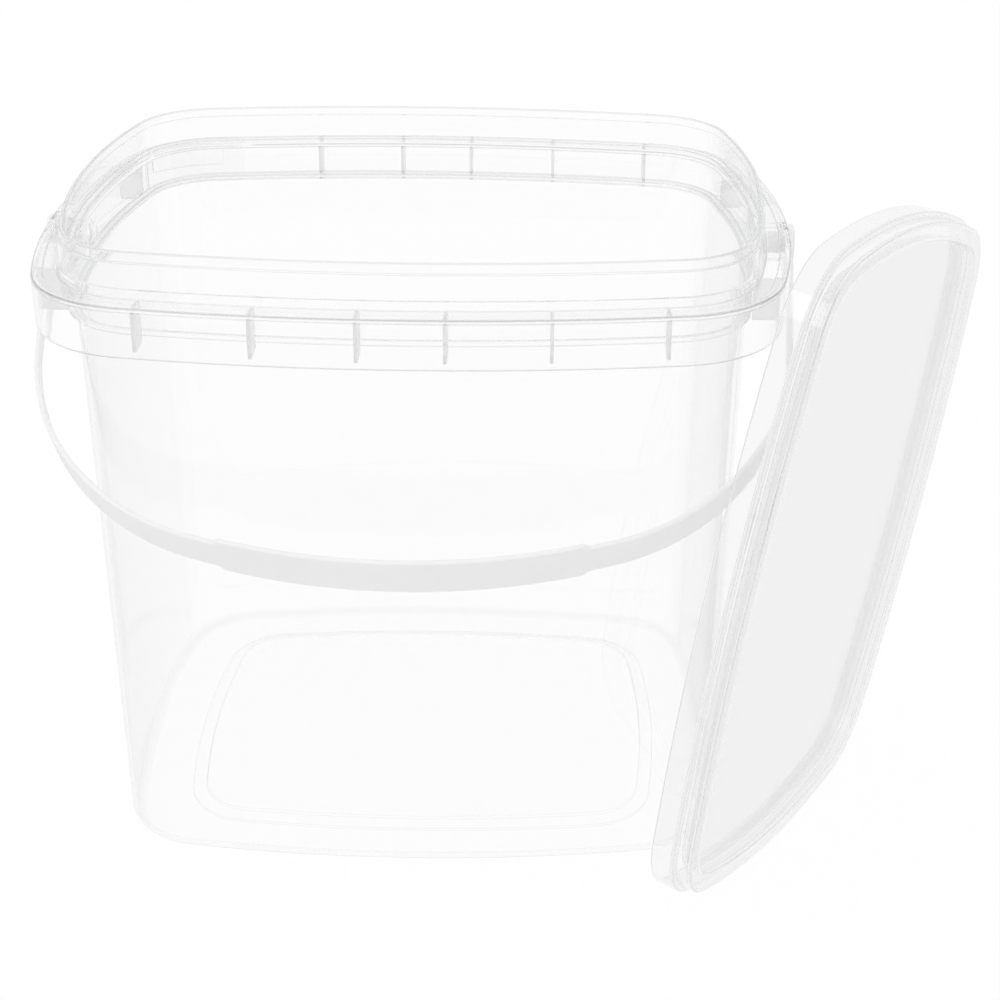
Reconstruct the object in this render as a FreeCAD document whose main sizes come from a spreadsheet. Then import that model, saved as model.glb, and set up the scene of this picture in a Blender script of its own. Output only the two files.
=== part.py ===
"""A clear rectangular food bucket with a swinging bail handle, a loose lid and a tear tab.

Millimetres, Z up, origin at the middle of the bucket's foot. X runs along the long side, between
the handle's pivots, and the front is at -Y. Every size is a cell of the sheet named sizes.
"""

import os
import math

import FreeCAD
import Part
from Sketcher import Constraint

SIZES = {
    # the rim's outer outline: four bulged sides joined by round corners
    "rim_half_width": 100.0,
    "rim_half_depth": 76.5,
    "rim_side_radius": 207.0,
    "rim_front_radius": 460.0,
    "rim_corner_radius": 31.0,
    # the foot's outline, smaller for the nesting taper, and its rounded bottom edge
    "foot_half_width": 86.4,
    "foot_half_depth": 65.5,
    "foot_side_radius": 236.0,
    "foot_front_radius": 441.0,
    "foot_corner_radius": 22.0,
    "foot_round": 3.5,
    "foot_round_middle": 1.0,
    # the raised middle of the floor
    "panel_half_width": 65.0,
    "panel_half_depth": 48.0,
    "panel_side_radius": 240.0,
    "panel_front_radius": 430.0,
    "panel_corner_radius": 14.0,
    "panel_rise": 1.2,
    "panel_slope": 4.0,
    # walls and levels of the bucket
    "wall": 1.2,
    "floor": 1.4,
    "flange_height": 167.2,
    "flange_thickness": 1.2,
    "skirt_height": 13.2,
    "shoulder_rise": 2.8,
    "body_inset": 10.4,
    "collar_inset": 8.4,
    "lip_width": 2.8,
    "lip_rise": 0.4,
    "neck_inset": 6.5,
    "neck_lean": 0.8,
    "neck_step": 0.6,
    "neck_step_drop": 2.9,
    "ledge_rise": 1.5,
    "neck_rise": 11.4,
    # gussets that stiffen the skirt
    "gusset_thickness": 1.2,
    "gusset_lift": 1.6,
    "gusset_inner": 10.6,
    "gusset_middle": 36.0,
    "gusset_outer": 64.1,
    "gusset_side": 44.0,
    "gusset_bite": 0.6,
    # the handle, a flat band bent to a bow, on slender arms with round eyes
    "pivot_drop": 7.2,
    "hang_angle": 55.5,
    "band_thickness": 1.4,
    "band_width": 12.6,
    "band_drop": 102.6,
    "band_corner_radius": 64.3,
    "band_bow_radius": 193.3,
    "grip_width": 16.2,
    "grip_half_length": 45.5,
    "arm_lean": 3.5,
    "arm_width": 4.0,
    "arm_length": 54.3,
    "arm_taper": 14.3,
    "eye_radius": 5.6,
    "pin_radius": 3.0,
    "pin_length": 7.0,
    "pin_clearance": 0.08,
    "handle_gap": 0.9,
    "boss_wall": 2.2,
    "socket_floor": 0.5,
    # the tear tab, cut out of the rim's rear left corner
    "tab_start": 60.4,
    "tab_apex_shift": 4.8,
    "tab_sweep": 34.4,
    "tab_flange": 4.4,
    "tab_flange_thickness": 1.0,
    "tear_gap": 0.4,
    "tab_plate_margin": 6.6,
    "tab_plate_drop": 1.4,
    "tab_plate_height": 7.6,
    "tab_plate_rise": 0.6,
    # the lid, seen from its free edge
    "lid_inset": 8.9,
    "lid_wall": 0.9,
    "lid_skirt_height": 6.4,
    "lid_height": 10.4,
    "lid_step": 1.6,
    "lid_ring": 5.3,
    "lid_recess": 3.8,
    "lid_panel_thickness": 1.0,
    # where the lid stands, beside the bucket's front right corner
    "lid_stand_x": 5.8,
    "lid_stand_y": 45.0,
    "lid_turn": 31.34,
    "lid_tilt": 4.99,
    "lid_roll": 12.09,
}

RIM = ("rim_half_width", "rim_half_depth", "rim_side_radius", "rim_front_radius", "rim_corner_radius")
FOOT = (
    "foot_half_width",
    "foot_half_depth",
    "foot_side_radius",
    "foot_front_radius",
    "foot_corner_radius",
)
PANEL = (
    "panel_half_width",
    "panel_half_depth",
    "panel_side_radius",
    "panel_front_radius",
    "panel_corner_radius",
)

START, END, CENTRE = range(1, 4)
X_AXIS, Y_AXIS = range(-1, -3, -1)
ORIGIN = X_AXIS

doc = FreeCAD.newDocument("food_bucket")


def add_sheet():
    """The spreadsheet that holds every driving dimension as a plain number with an alias."""
    sheet = doc.addObject("Spreadsheet::Sheet", "sizes")
    for row, (name, size) in enumerate(SIZES.items(), 1):
        sheet.set(f"A{row}", name)
        sheet.set(f"B{row}", str(size))
        sheet.setAlias(f"B{row}", name)
    doc.recompute()


def formula(*names):
    """An expression that adds the named sizes. A name that starts with a minus is taken away."""
    return " ".join(("- sizes." + n[1:]) if n[0] == "-" else ("+ sizes." + n) for n in names) or "0"


def number(*names):
    """The value of the same sum, for a sketch's first shape."""
    return sum(-SIZES[n[1:]] if n[0] == "-" else SIZES[n] for n in names)


SKIRT_FOOT = ("flange_height", "-skirt_height")
SHOULDER = SKIRT_FOOT + ("shoulder_rise",)
WEB = ("flange_height", "-lip_rise")
NECK_TOP = ("flange_height", "neck_rise")
NECK_STEP = NECK_TOP + ("-neck_step_drop",)
LEDGE = ("flange_height", "ledge_rise")
PIVOT = ("flange_height", "-pivot_drop")


def add_body(name):
    """An empty body whose label names its file."""
    body = doc.addObject("PartDesign::Body", name)
    body.Label = name
    return body


def origin_plane(body, role):
    """One of the body's own three planes."""
    return next(item for item in body.Origin.OriginFeatures if item.Role == role)


def add_sketch(body, name, height=(), role="XY_Plane"):
    """A sketch on one of the body's own planes, lifted off it by the sum of the named sizes."""
    sketch = body.newObject("Sketcher::SketchObject", name)
    sketch.AttachmentSupport = (origin_plane(body, role), [""])
    sketch.MapMode = "FlatFace"
    if height:
        sketch.setExpression("AttachmentOffset.Base.z", formula(*height))
    return sketch


def tie(sketch, joints, measures):
    """Adds all constraints at once and ties each measure, given with its name, to an expression."""
    first = sketch.ConstraintCount
    sketch.addConstraint(joints + [constraint for constraint, _, _ in measures])
    for index, (_, name, expression) in enumerate(measures, first + len(joints)):
        sketch.renameConstraint(index, name)
        sketch.setExpression(f"Constraints.{name}", expression)


def corner_centre(half_width, half_depth, side_radius, front_radius, corner_radius):
    """Where a corner arc's centre lies: inside both side arcs by the difference of the radii."""
    side = side_radius - corner_radius
    front = front_radius - corner_radius
    across, along = side_radius - half_width, front_radius - half_depth
    apart = math.hypot(across, along)
    foot = (side**2 - front**2 + apart**2) / (2 * apart)
    rise = math.sqrt(side**2 - foot**2)
    x = -across + (foot * across + rise * along) / apart
    y = (-foot * along + rise * across) / apart
    return x, y


def add_outline(sketch, family, inset=()):
    """One closed outline of eight tangent arcs, the family's own moved inward by the inset."""
    half_width, half_depth, side_radius, front_radius, corner_radius = (SIZES[n] for n in family)
    step = number(*inset)
    x, y = corner_centre(*(SIZES[n] for n in family))
    side_turn = math.atan2(y, x + side_radius - half_width)
    front_turn = math.atan2(y + front_radius - half_depth, x)
    across, along = half_width - side_radius, half_depth - front_radius
    arcs = (
        (across, 0, side_radius, -side_turn, side_turn),
        (x, y, corner_radius, side_turn, front_turn),
        (0, along, front_radius, front_turn, math.pi - front_turn),
        (-x, y, corner_radius, math.pi - front_turn, math.pi - side_turn),
        (-across, 0, side_radius, math.pi - side_turn, math.pi + side_turn),
        (-x, -y, corner_radius, math.pi + side_turn, math.pi + front_turn),
        (0, -along, front_radius, math.pi + front_turn, 2 * math.pi - front_turn),
        (x, -y, corner_radius, -front_turn, -side_turn),
    )
    first = sketch.GeometryCount
    up = FreeCAD.Vector(0, 0, 1)
    for cx, cy, radius, low, high in arcs:
        circle = Part.Circle(FreeCAD.Vector(cx, cy, 0), up, radius - step)
        sketch.addGeometry(Part.ArcOfCircle(circle, low, high), False)
    tie_outline(sketch, family, inset, first)


def tie_outline(sketch, family, inset, first):
    """Tangent ends all round, the four side arcs centred on the axes, and every radius tied."""
    width, depth, side, front, corner = ("sizes." + name for name in family)
    across = SIZES[family[2]] - SIZES[family[0]]
    along = SIZES[family[3]] - SIZES[family[1]]
    inward, step = formula(*inset), number(*inset)
    right, near_corner, rear, _, left, _, fore, _ = range(first, first + 8)
    joints = [
        Constraint("Tangent", first + i, END, first + (i + 1) % 8, START) for i in range(8)
    ]
    joints += [Constraint("PointOnObject", arc, CENTRE, X_AXIS) for arc in (right, left)]
    joints += [Constraint("PointOnObject", arc, CENTRE, Y_AXIS) for arc in (rear, fore)]
    joints += [Constraint("Equal", near_corner, near_corner + i) for i in (2, 4, 6)]
    measures = [
        (Constraint("DistanceX", right, CENTRE, ORIGIN, START, across), "right", f"{side} - {width}"),
        (Constraint("DistanceX", ORIGIN, START, left, CENTRE, across), "left", f"{side} - {width}"),
        (Constraint("DistanceY", rear, CENTRE, ORIGIN, START, along), "rear", f"{front} - {depth}"),
        (Constraint("DistanceY", ORIGIN, START, fore, CENTRE, along), "fore", f"{front} - {depth}"),
    ]
    radii = (
        (right, "right_radius", side, family[2]),
        (left, "left_radius", side, family[2]),
        (rear, "rear_radius", front, family[3]),
        (fore, "fore_radius", front, family[3]),
        (near_corner, "corner_radius", corner, family[4]),
    )
    for arc, name, radius, cell in radii:
        constraint = Constraint("Radius", arc, SIZES[cell] - step)
        measures.append((constraint, name, f"{radius} - ({inward})"))
    measures = [(item, f"{name}_{first}", expression) for item, name, expression in measures]
    tie(sketch, joints, measures)


def outline_sketch(body, name, family, inset=(), height=(), hole=None):
    """A sketch with one outline, or with a second one inside it for a ring."""
    sketch = add_sketch(body, name, height)
    add_outline(sketch, family, inset)
    if hole is not None:
        add_outline(sketch, family, hole)
    return sketch


def add_feature(body, kind, name, **settings):
    """A PartDesign feature with its plain settings and, for text starting with =, expressions."""
    feature = body.newObject("PartDesign::" + kind, name)
    for key, value in settings.items():
        if isinstance(value, str) and value.startswith("="):
            feature.setExpression(key, value[1:])
        else:
            setattr(feature, key, value)
    return feature


def loft(body, kind, name, lower, upper):
    """A straight-sided loft between two outlines."""
    return add_feature(body, kind, name, Profile=lower, Sections=[upper], Ruled=True)


def pad(body, name, sketch, *length):
    """A pad upward by the sum of the named sizes."""
    return add_feature(body, "Pad", name, Profile=sketch, Length="=" + formula(*length))


def pocket(body, name, sketch, *length, upward=False):
    """A pocket by the sum of the named sizes, downward unless told otherwise."""
    settings = {"Profile": sketch, "Length": "=" + formula(*length), "Reversed": upward}
    return add_feature(body, "Pocket", name, **settings)


def add_tub(body):
    """The tapering tub as a solid block, with its bottom edge rounded in two slopes."""
    toe = outline_sketch(body, "toe", FOOT, ("foot_round",))
    instep = outline_sketch(body, "instep", FOOT, ("foot_round_middle",), ("foot_round_middle",))
    foot = outline_sketch(body, "foot", FOOT, (), ("foot_round",))
    shoulder = outline_sketch(body, "shoulder", RIM, ("body_inset",), SHOULDER)
    loft(body, "AdditiveLoft", "toe_round", toe, instep)
    loft(body, "AdditiveLoft", "foot_round", instep, foot)
    loft(body, "AdditiveLoft", "tub", foot, shoulder)


def add_floor_panel(body):
    """The middle of the floor stands a little higher, with a sloping edge, above and below."""
    lower = ("-panel_slope",)
    under = outline_sketch(body, "panel_under_low", PANEL, lower)
    under_top = outline_sketch(body, "panel_under_high", PANEL, (), ("panel_rise",))
    loft(body, "SubtractiveLoft", "panel_hollow", under, under_top)
    over = outline_sketch(body, "panel_over_low", PANEL, lower, ("floor",))
    over_top = outline_sketch(body, "panel_over_high", PANEL, (), ("floor", "panel_rise"))
    loft(body, "AdditiveLoft", "panel_raise", over, over_top)


def add_bucket_shell():
    """The moulded shell: tapering body, collar, flange with its lip, skirt and neck."""
    body = add_body("bucket_shell")
    add_tub(body)
    collar = outline_sketch(body, "collar_outline", RIM, ("collar_inset",), SHOULDER)
    pad(body, "collar", collar, "skirt_height", "-shoulder_rise", "-lip_rise")
    below_flange = ("flange_height", "-flange_thickness")
    web = outline_sketch(body, "web_outline", RIM, (), below_flange)
    pad(body, "web", web, "flange_thickness", "-lip_rise")
    lip = outline_sketch(body, "lip_outline", RIM, (), WEB, hole=("lip_width",))
    pad(body, "lip", lip, "lip_rise")
    skirt = outline_sketch(body, "skirt_outline", RIM, (), SKIRT_FOOT, hole=("wall",))
    pad(body, "skirt", skirt, "skirt_height", "-lip_rise")

    neck_foot = outline_sketch(body, "neck_foot", RIM, ("neck_inset",), WEB)
    neck_middle = outline_sketch(body, "neck_middle", RIM, ("neck_inset", "neck_lean"), NECK_STEP)
    loft(body, "AdditiveLoft", "neck", neck_foot, neck_middle)
    neck_top_inset = ("neck_inset", "neck_lean", "neck_step")
    neck_top = outline_sketch(body, "neck_top", RIM, neck_top_inset, NECK_STEP)
    pad(body, "neck_end", neck_top, "neck_step_drop")

    floor_line = outline_sketch(body, "inner_foot", FOOT, ("wall",), ("floor",))
    inner_top = SHOULDER + ("wall",)
    wall_line = outline_sketch(body, "inner_shoulder", RIM, ("body_inset", "wall"), inner_top)
    loft(body, "SubtractiveLoft", "inside", floor_line, wall_line)
    collar_hole = outline_sketch(body, "collar_hole", RIM, ("collar_inset", "wall"), LEDGE)
    depth = ("ledge_rise", "skirt_height", "-shoulder_rise", "-wall")
    pocket(body, "collar_inside", collar_hole, *depth)
    ledge = outline_sketch(body, "neck_hole_low", RIM, ("neck_inset", "wall"), LEDGE)
    mouth = outline_sketch(body, "neck_hole_high", RIM, neck_top_inset + ("wall",), NECK_TOP)
    loft(body, "SubtractiveLoft", "neck_inside", ledge, mouth)
    add_floor_panel(body)
    return body


def sagitta(radius, offset):
    """How far an arc falls back at a distance from its middle, as an expression."""
    return f"(sizes.{radius} - sqrt(sizes.{radius} ^ 2 - ({offset}) ^ 2))"


def add_gusset(name, x, y, across, along):
    """A small upright plate under the flange, from the collar to the skirt."""
    box = doc.addObject("Part::Box", name)
    box.setExpression("Length", across)
    box.setExpression("Width", along)
    box.setExpression("Height", formula("skirt_height", "-gusset_lift", "-lip_rise", "-gusset_bite"))
    box.setExpression("Placement.Base.x", f"{x} - ({across}) / 2")
    box.setExpression("Placement.Base.y", f"{y} - ({along}) / 2")
    box.setExpression("Placement.Base.z", formula(*SKIRT_FOOT, "gusset_lift"))
    return box


def add_gussets():
    """Six gussets at the front, five at the rear beside the tear tab, and two on each short side."""
    thickness = "sizes.gusset_thickness"
    reach = "(sizes.collar_inset - sizes.wall + 2 * sizes.gusset_bite)"
    middle = "(sizes.collar_inset + sizes.wall) / 2"
    made = []
    for end, towards in (("front", "-"), ("rear", "+")):
        for place in ("inner", "middle", "outer"):
            offset = f"sizes.gusset_{place}"
            run = f"(sizes.rim_half_depth - {sagitta('rim_front_radius', offset)} - {middle})"
            for hand, sign in (("left", "-"), ("right", "+")):
                if (end, place, hand) == ("rear", "outer", "left"):
                    continue
                name = f"gusset_{end}_{place}_{hand}"
                made.append(add_gusset(name, f"{sign}{offset}", f"{towards}{run}", thickness, reach))
    offset = "sizes.gusset_side"
    run = f"(sizes.rim_half_width - {sagitta('rim_side_radius', offset)} - {middle})"
    for end, towards in (("front", "-"), ("rear", "+")):
        for hand, sign in (("left", "-"), ("right", "+")):
            name = f"gusset_side_{end}_{hand}"
            made.append(add_gusset(name, f"{sign}{run}", f"{towards}{offset}", reach, thickness))
    return made


def add_rod(name, radius, start, length, turn):
    """A cylinder along X at the handle's pivot height, from a distance off the middle."""
    rod = doc.addObject("Part::Cylinder", name)
    rod.setExpression("Radius", radius)
    rod.setExpression("Height", length)
    rod.Placement.Rotation = FreeCAD.Rotation(FreeCAD.Vector(0, 1, 0), turn)
    rod.setExpression("Placement.Base.x", start)
    rod.setExpression("Placement.Base.z", formula(*PIVOT))
    return rod


def add_pivot_sockets():
    """On each short side a round boss between collar and skirt, and the blind hole for the pin."""
    inner = "(sizes.rim_half_width - sizes.collar_inset - sizes.gusset_bite)"
    length = "sizes.collar_inset + sizes.gusset_bite - sizes.wall / 2"
    hole = "(sizes.pin_radius + sizes.pin_clearance)"
    depth = "(sizes.rim_half_width + sizes.handle_gap - sizes.pin_length - sizes.socket_floor)"
    drill = "sizes.pin_length + sizes.socket_floor + sizes.wall"
    bosses, holes = [], []
    for hand, sign, turn in (("left", "-", -90), ("right", "+", 90)):
        radius = f"{hole} + sizes.boss_wall"
        bosses.append(add_rod(f"pivot_boss_{hand}", radius, f"{sign}{inner}", length, turn))
        holes.append(add_rod(f"pivot_hole_{hand}", hole, f"{sign}{depth}", drill, turn))
    return bosses, holes


def add_ring(name, outer, hole, height, *length):
    """A plain upright ring that follows the rim's outline between two insets."""
    body = add_body(name)
    sketch = outline_sketch(body, name + "_outline", RIM, outer, height, hole=hole)
    pad(body, name + "_pad", sketch, *length)
    return body


def add_block(name, x, y, turn):
    """A big upright block whose corner stands at a place, to cut a sector out of the rim."""
    block = doc.addObject("Part::Box", name)
    for side in ("Length", "Width", "Height"):
        block.setExpression(side, "sizes.rim_half_depth")
    block.Placement.Rotation = FreeCAD.Rotation(FreeCAD.Vector(0, 0, 1), 0)
    block.setExpression("Placement.Base.x", x)
    block.setExpression("Placement.Base.y", y)
    block.setExpression("Placement.Base.z", "sizes.flange_height - sizes.rim_half_depth / 2")
    if turn:
        block.setExpression("Placement.Rotation.Angle", turn)
    return block


def keep_sector(name, ring, right_margin, left_margin):
    """The part of a ring in the rear left corner that the tear tab spans, less the margins."""
    apex = "(sizes.rim_corner_radius + sizes.tab_apex_shift)"
    swing = "(90 - sizes.tab_sweep)"
    right = f"-sizes.tab_start - ({right_margin}) - sizes.rim_half_depth"
    first = add_block(name + "_right_side", right, "0", "")
    x = f"{apex} - sizes.rim_half_width + ({left_margin}) * cos({swing})"
    y = f"sizes.rim_half_depth - {apex} + ({left_margin}) * sin({swing})"
    second = add_block(name + "_left_side", x, y, swing)
    sector = doc.addObject("Part::MultiCommon", name)
    sector.Shapes = [ring, first, second]
    return sector


def add_tear_tab():
    """The tab: its stretch of skirt, a narrow flange on top and a raised plate for the finger."""
    height = ("flange_height", "-tab_flange_thickness")
    wall = add_ring("tab_wall", (), ("wall",), SKIRT_FOOT, "skirt_height")
    flange = add_ring("tab_flange", (), ("tab_flange",), height, "tab_flange_thickness")
    low = ("flange_height", "-tab_plate_drop", "-tab_plate_height")
    plate = add_ring("tab_plate", ("-tab_plate_rise",), ("wall",), low, "tab_plate_height")
    ring = doc.addObject("Part::MultiFuse", "tab_ring")
    ring.Shapes = [wall, flange]
    body = keep_sector("tab_body", ring, "0", "0")
    finger = keep_sector("tab_finger", plate, "sizes.tab_plate_margin", "sizes.tab_plate_margin / 2")
    tab = doc.addObject("Part::MultiFuse", "tear_tab")
    tab.Shapes = [body, finger]
    return tab


def add_notch():
    """The gap in the bucket's rim that the tear tab fills, wider all round by the tear gap."""
    hole = ("tab_flange", "tear_gap")
    low = SKIRT_FOOT + ("-wall",)
    ring = add_ring("notch_ring", ("-wall",), hole, low, "skirt_height", "wall", "wall")
    return keep_sector("notch", ring, "-sizes.tear_gap", "-sizes.tear_gap")


def add_bucket():
    """The shell with its gussets and pivot bosses, less the tear tab's notch and the pivot holes."""
    shell = add_bucket_shell()
    bosses, holes = add_pivot_sockets()
    whole = doc.addObject("Part::MultiFuse", "bucket_whole")
    whole.Shapes = [shell] + add_gussets() + bosses
    cutters = doc.addObject("Part::MultiFuse", "bucket_cutters")
    cutters.Shapes = [add_notch()] + holes
    bucket = doc.addObject("Part::Cut", "bucket")
    bucket.Base = whole
    bucket.Tool = cutters
    return bucket


def corner_of_band(lean):
    """Where the corner arc's centre lies: on the arm's parallel, a corner radius inside, and as far from
    the bow's centre as the two radii differ."""
    bow, corner = SIZES["band_bow_radius"], SIZES["band_corner_radius"]
    span = number("rim_half_width", "handle_gap", "band_thickness")
    rise = bow - SIZES["band_drop"]
    across, down = span - corner * math.cos(lean), rise - corner * math.sin(lean)
    passed = down * math.cos(lean) - across * math.sin(lean)
    run = math.sqrt((bow - corner) ** 2 - across**2 - down**2 + passed**2) - passed
    return across - run * math.sin(lean), run * math.cos(lean) - corner * math.sin(lean)


def add_band_curve(sketch, inward):
    """Half-open bow of the band: an arm that leans in, a corner arc, the bow, a corner arc and an arm."""
    step, lean = number(*inward), math.radians(SIZES["arm_lean"])
    bow, corner = SIZES["band_bow_radius"], SIZES["band_corner_radius"]
    side, drop = corner_of_band(lean)
    centre = SIZES["band_drop"] - bow
    turn = math.atan2(drop - centre, side)
    up = FreeCAD.Vector(0, 0, 1)
    arcs = (
        (side, drop, corner, lean, turn),
        (0, centre, bow, turn, math.pi - turn),
        (-side, drop, corner, math.pi - turn, math.pi - lean),
    )
    first = sketch.GeometryCount
    reach = number("rim_half_width", "handle_gap", "band_thickness") - step / math.cos(lean)
    low_x, low_y = side + (corner - step) * math.cos(lean), drop + (corner - step) * math.sin(lean)
    right_top, right_low = FreeCAD.Vector(reach, 0, 0), FreeCAD.Vector(low_x, low_y, 0)
    sketch.addGeometry(Part.LineSegment(right_top, right_low), False)
    for x, y, radius, low, high in arcs:
        circle = Part.Circle(FreeCAD.Vector(x, y, 0), up, radius - step)
        sketch.addGeometry(Part.ArcOfCircle(circle, low, high), False)
    left_low, left_top = FreeCAD.Vector(-low_x, low_y, 0), FreeCAD.Vector(-reach, 0, 0)
    sketch.addGeometry(Part.LineSegment(left_low, left_top), False)
    tie_band_curve(sketch, inward, first)
    return first


def tie_band_curve(sketch, inward, first):
    """Tangent joints, radii, leans and places of one edge of the band. The arms end on the X axis."""
    right, near, bow, far, left = range(first, first + 5)
    step, inset = number(*inward), formula(*inward)
    lean, upright = math.radians(SIZES["arm_lean"]), math.pi / 2
    reach = number("rim_half_width", "handle_gap", "band_thickness") - step / math.cos(lean)
    reach_text = formula("rim_half_width", "handle_gap", "band_thickness")
    reach_text += f" - ({inset}) / cos(sizes.arm_lean * 1 deg)"
    rise = SIZES["band_bow_radius"] - SIZES["band_drop"]
    joints = [Constraint("Tangent", edge, END, edge + 1, START) for edge in (right, near, bow, far)]
    joints += [
        Constraint("PointOnObject", bow, CENTRE, Y_AXIS),
        Constraint("PointOnObject", right, START, X_AXIS),
        Constraint("PointOnObject", left, END, X_AXIS),
        Constraint("Equal", near, far),
    ]
    measures = [
        (
            Constraint("Radius", near, SIZES["band_corner_radius"] - step),
            "corner",
            f"sizes.band_corner_radius - ({inset})",
        ),
        (
            Constraint("Radius", bow, SIZES["band_bow_radius"] - step),
            "bow",
            f"sizes.band_bow_radius - ({inset})",
        ),
        (
            Constraint("DistanceY", bow, CENTRE, ORIGIN, START, rise),
            "rise",
            "sizes.band_bow_radius - sizes.band_drop",
        ),
        (Constraint("DistanceX", ORIGIN, START, right, START, reach), "right", reach_text),
        (Constraint("DistanceX", left, END, ORIGIN, START, reach), "left", reach_text),
        (Constraint("Angle", right, upright + lean), "right_lean", "(90 + sizes.arm_lean) * 1 deg"),
        (Constraint("Angle", left, -upright - lean), "left_lean", "-(90 + sizes.arm_lean) * 1 deg"),
    ]
    tie(sketch, joints, [(item, f"{name}_{first}", text) for item, name, text in measures])


def close_band(sketch, outer, inner):
    """Short lines that join the band's two edges at the ends of the arms."""
    for point, one, other in ((START, outer, inner), (END, outer + 4, inner + 4)):
        line = sketch.addGeometry(
            Part.LineSegment(sketch.getPoint(one, point), sketch.getPoint(other, point)), False
        )
        joints = [
            Constraint("Coincident", line, START, one, point),
            Constraint("Coincident", line, END, other, point),
        ]
        tie(sketch, joints, [])


def add_band(body):
    """The band at its narrow width, from eye to eye."""
    sketch = add_sketch(body, "band_outline")
    outer = add_band_curve(sketch, ())
    inner = add_band_curve(sketch, ("band_thickness",))
    close_band(sketch, outer, inner)
    return add_feature(
        body, "Pad", "band", Profile=sketch, Length="=sizes.band_width", SideType="Symmetric"
    )


def add_grip(body):
    """The wider middle stretch of the band, cut off square to the bow at both ends."""
    sketch = add_sketch(body, "grip_outline")
    bow, half, thickness = SIZES["band_bow_radius"], SIZES["grip_half_length"], SIZES["band_thickness"]
    rise = bow - SIZES["band_drop"]
    turn = math.asin(half / bow)
    for radius in (bow, bow - thickness):
        circle = Part.Circle(FreeCAD.Vector(0, -rise, 0), FreeCAD.Vector(0, 0, 1), radius)
        sketch.addGeometry(Part.ArcOfCircle(circle, math.pi / 2 - turn, math.pi / 2 + turn), False)
    joints = [
        Constraint("Coincident", 0, CENTRE, 1, CENTRE),
        Constraint("PointOnObject", 0, CENTRE, Y_AXIS),
    ]
    for point in (START, END):
        ends = [sketch.getPoint(arc, point) for arc in (0, 1)]
        line = sketch.addGeometry(Part.LineSegment(*ends), False)
        joints += [
            Constraint("Coincident", line, START, 0, point),
            Constraint("Coincident", line, END, 1, point),
            Constraint("PointOnObject", 0, CENTRE, line),
        ]
    reach = "sizes.grip_half_length"
    measures = [
        (Constraint("Radius", 0, bow), "outer", "sizes.band_bow_radius"),
        (Constraint("Radius", 1, bow - thickness), "inner", "sizes.band_bow_radius - sizes.band_thickness"),
        (
            Constraint("DistanceY", 0, CENTRE, ORIGIN, START, rise),
            "rise",
            "sizes.band_bow_radius - sizes.band_drop",
        ),
        (Constraint("DistanceX", ORIGIN, START, 0, START, half), "right", reach),
        (Constraint("DistanceX", 0, END, ORIGIN, START, half), "left", reach),
    ]
    tie(sketch, joints, measures)
    return add_feature(
        body, "Pad", "grip", Profile=sketch, Length="=sizes.grip_width", SideType="Symmetric"
    )


def narrow_arms(body):
    """Cuts both edges of the arms away, from above the eyes to a slope that runs out to the band's width."""
    sketch = add_sketch(body, "arm_edges", role="YZ_Plane")
    half_arm, half_band, width = SIZES["arm_width"] / 2, SIZES["band_width"] / 2, SIZES["band_width"]
    straight = SIZES["arm_length"]
    end = number("arm_length", "arm_taper")
    corners = ((-width, half_arm), (straight, half_arm), (end, half_band), (end, width), (-width, width))
    for index, sign in enumerate((1, -1)):
        points = [FreeCAD.Vector(x, sign * y, 0) for x, y in corners]
        first = sketch.GeometryCount
        for start, stop in zip(points, points[1:] + points[:1]):
            sketch.addGeometry(Part.LineSegment(start, stop), False)
        low, slope, right, top, left = range(first, first + 5)
        joints = [Constraint("Coincident", edge, END, edge + 1, START) for edge in (low, slope, right, top)]
        joints += [
            Constraint("Coincident", left, END, low, START),
            Constraint("Horizontal", low),
            Constraint("Horizontal", top),
            Constraint("Vertical", right),
            Constraint("Vertical", left),
        ]
        measures = [
            (Constraint("DistanceX", ORIGIN, START, low, END, straight), "straight", "sizes.arm_length"),
            (
                Constraint("DistanceX", ORIGIN, START, slope, END, end),
                "end",
                "sizes.arm_length + sizes.arm_taper",
            ),
            (Constraint("DistanceX", left, START, ORIGIN, START, width), "past_eye", "sizes.band_width"),
        ]
        for point, name, reach, text in (
            ((low, END), "arm", half_arm, "sizes.arm_width / 2"),
            ((slope, END), "band", half_band, "sizes.band_width / 2"),
            ((top, END), "outside", width, "sizes.band_width"),
        ):
            ends = (ORIGIN, START) + point if sign > 0 else point + (ORIGIN, START)
            measures.append((Constraint("DistanceY", *ends, reach), name, text))
        tie(sketch, joints, [(item, f"{name}_{index}", text) for item, name, text in measures])
    through = "=4 * sizes.rim_half_width"
    return add_feature(
        body, "Pocket", "arm_edges_cut", Profile=sketch, Length=through, SideType="Symmetric"
    )


def add_disc(body, name, radius, inward, length):
    """A round pad on the inner or outer face of the right arm, about the pivot."""
    sketch = add_sketch(body, name + "_outline", role="YZ_Plane")
    sketch.setExpression("AttachmentOffset.Base.z", inward)
    circle = Part.Circle(FreeCAD.Vector(0, 0, 0), FreeCAD.Vector(0, 0, 1), 1.0)
    sketch.addGeometry(circle, False)
    joints = [Constraint("Coincident", 0, CENTRE, ORIGIN, START)]
    tie(sketch, joints, [(Constraint("Radius", 0, 1.0), "radius", radius)])
    return add_feature(body, "Pad", name, Profile=sketch, Length="=" + length, Reversed=True)


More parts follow.
